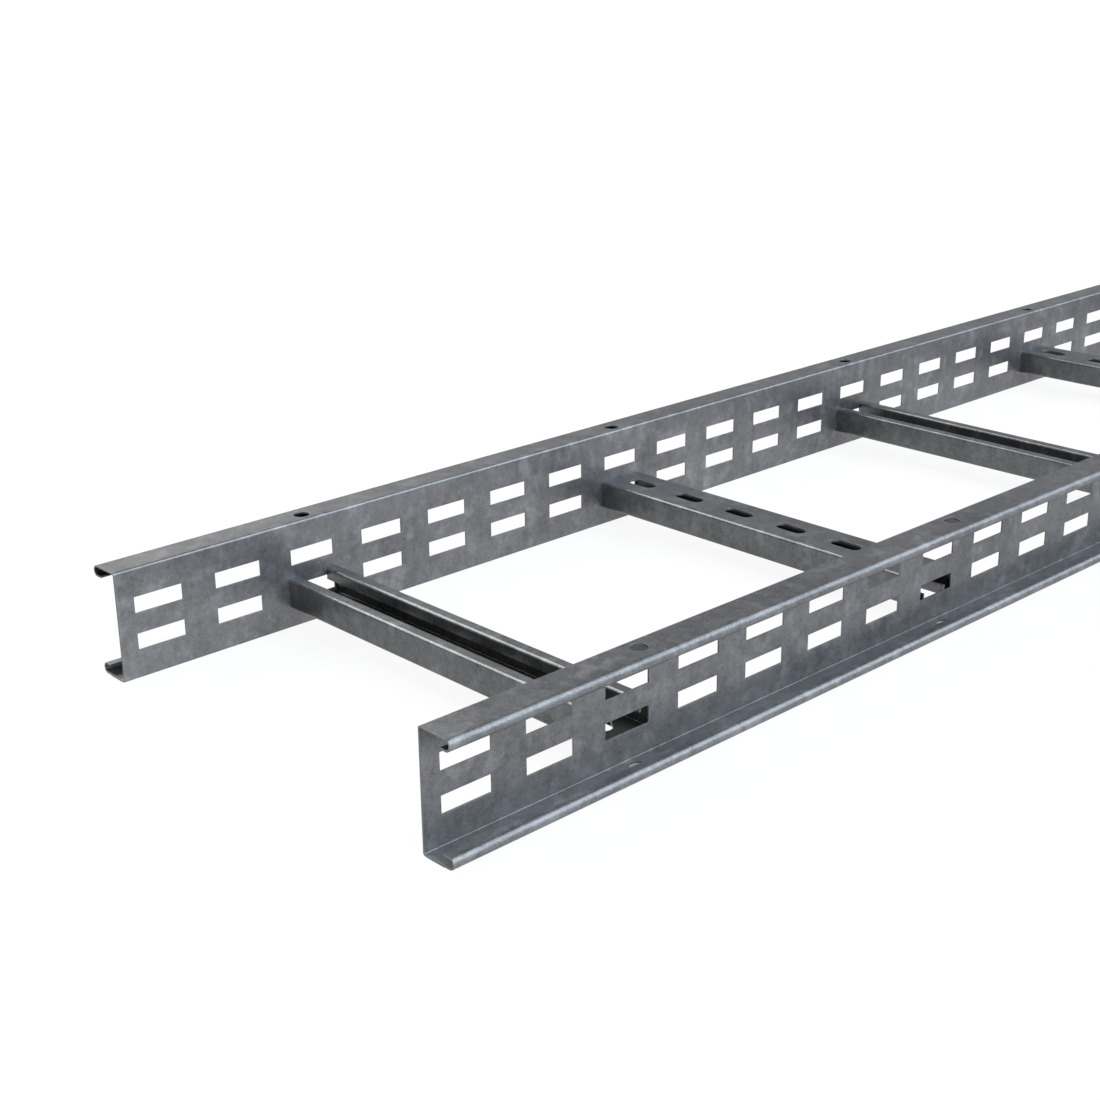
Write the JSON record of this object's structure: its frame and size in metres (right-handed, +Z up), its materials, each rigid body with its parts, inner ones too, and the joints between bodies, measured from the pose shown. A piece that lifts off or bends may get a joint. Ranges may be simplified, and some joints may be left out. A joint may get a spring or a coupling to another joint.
{
  "type": "cable ladder section",
  "caption": "Straight steel cable ladder section with slotted C side rails and lipped channel rungs that alternate open side up and slotted back up.",
  "frame": {"origin": "middle of the ladder's length and width, on the surface that the rails lie on", "axes": "+X along the rails, from the end with the open rung to the end with the turned rung; +Y across the ladder towards rail_left; +Z up"},
  "size_m": [3, 0.35, 0.075],
  "materials": {
    "rail_steel": "hot-dip galvanised, soft mottled grey",
    "rung_steel": "hot-dip galvanised, soft mottled grey"
  },
  "bodies": {
    "root": {"rail_left": "rail_steel", "rail_right": "rail_steel", "rung_01": "rung_steel", "rung_02": "rung_steel", "rung_03": "rung_steel", "rung_04": "rung_steel", "rung_05": "rung_steel", "rung_06": "rung_steel", "rung_07": "rung_steel", "rung_08": "rung_steel", "rung_09": "rung_steel", "rung_10": "rung_steel"}
  },
  "joints": []
}
